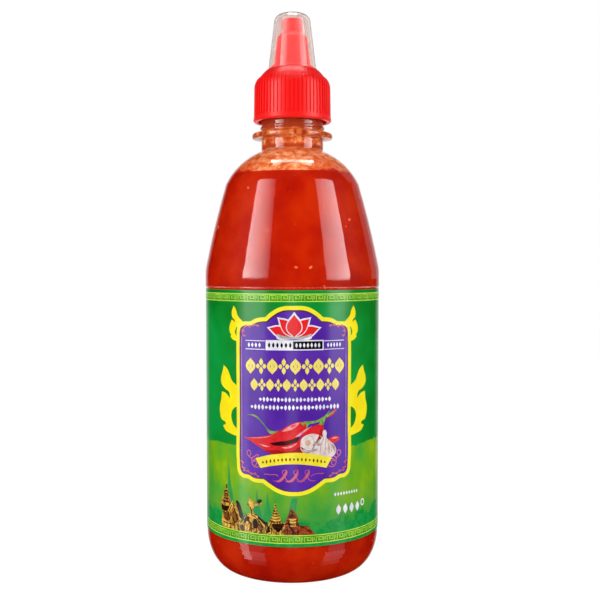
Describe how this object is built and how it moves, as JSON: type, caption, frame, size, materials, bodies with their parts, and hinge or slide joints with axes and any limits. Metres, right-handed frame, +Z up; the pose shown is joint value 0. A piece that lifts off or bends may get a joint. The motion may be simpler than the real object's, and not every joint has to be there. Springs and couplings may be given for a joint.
{
  "type": "chili sauce squeeze bottle",
  "caption": "Upright clear squeeze bottle filled with red chili sauce, with a printed wrap label, a ribbed screw cap with cone nozzle and a clear cover over the nozzle.",
  "frame": {"origin": "centre of the base, on the surface that the bottle stands on", "axes": "+Z up along the axis of the bottle; the front of the label faces -Y"},
  "size_m": [0.0666, 0.0666, 0.2116],
  "materials": {
    "clear_pet": "clear blow-moulded PET, smooth and glossy",
    "chili_sauce": "thick red chili sauce with fine flecks and seeds, wet",
    "printed_film": "printed plastic film label, satin gloss",
    "red_cap": "red moulded polypropylene, satin",
    "clear_cover": "thin natural polypropylene, translucent and glossy"
  },
  "bodies": {
    "root": {"bottle": "clear_pet", "sauce": "chili_sauce", "label": "printed_film", "cap": "red_cap", "cover": "clear_cover"}
  },
  "joints": []
}
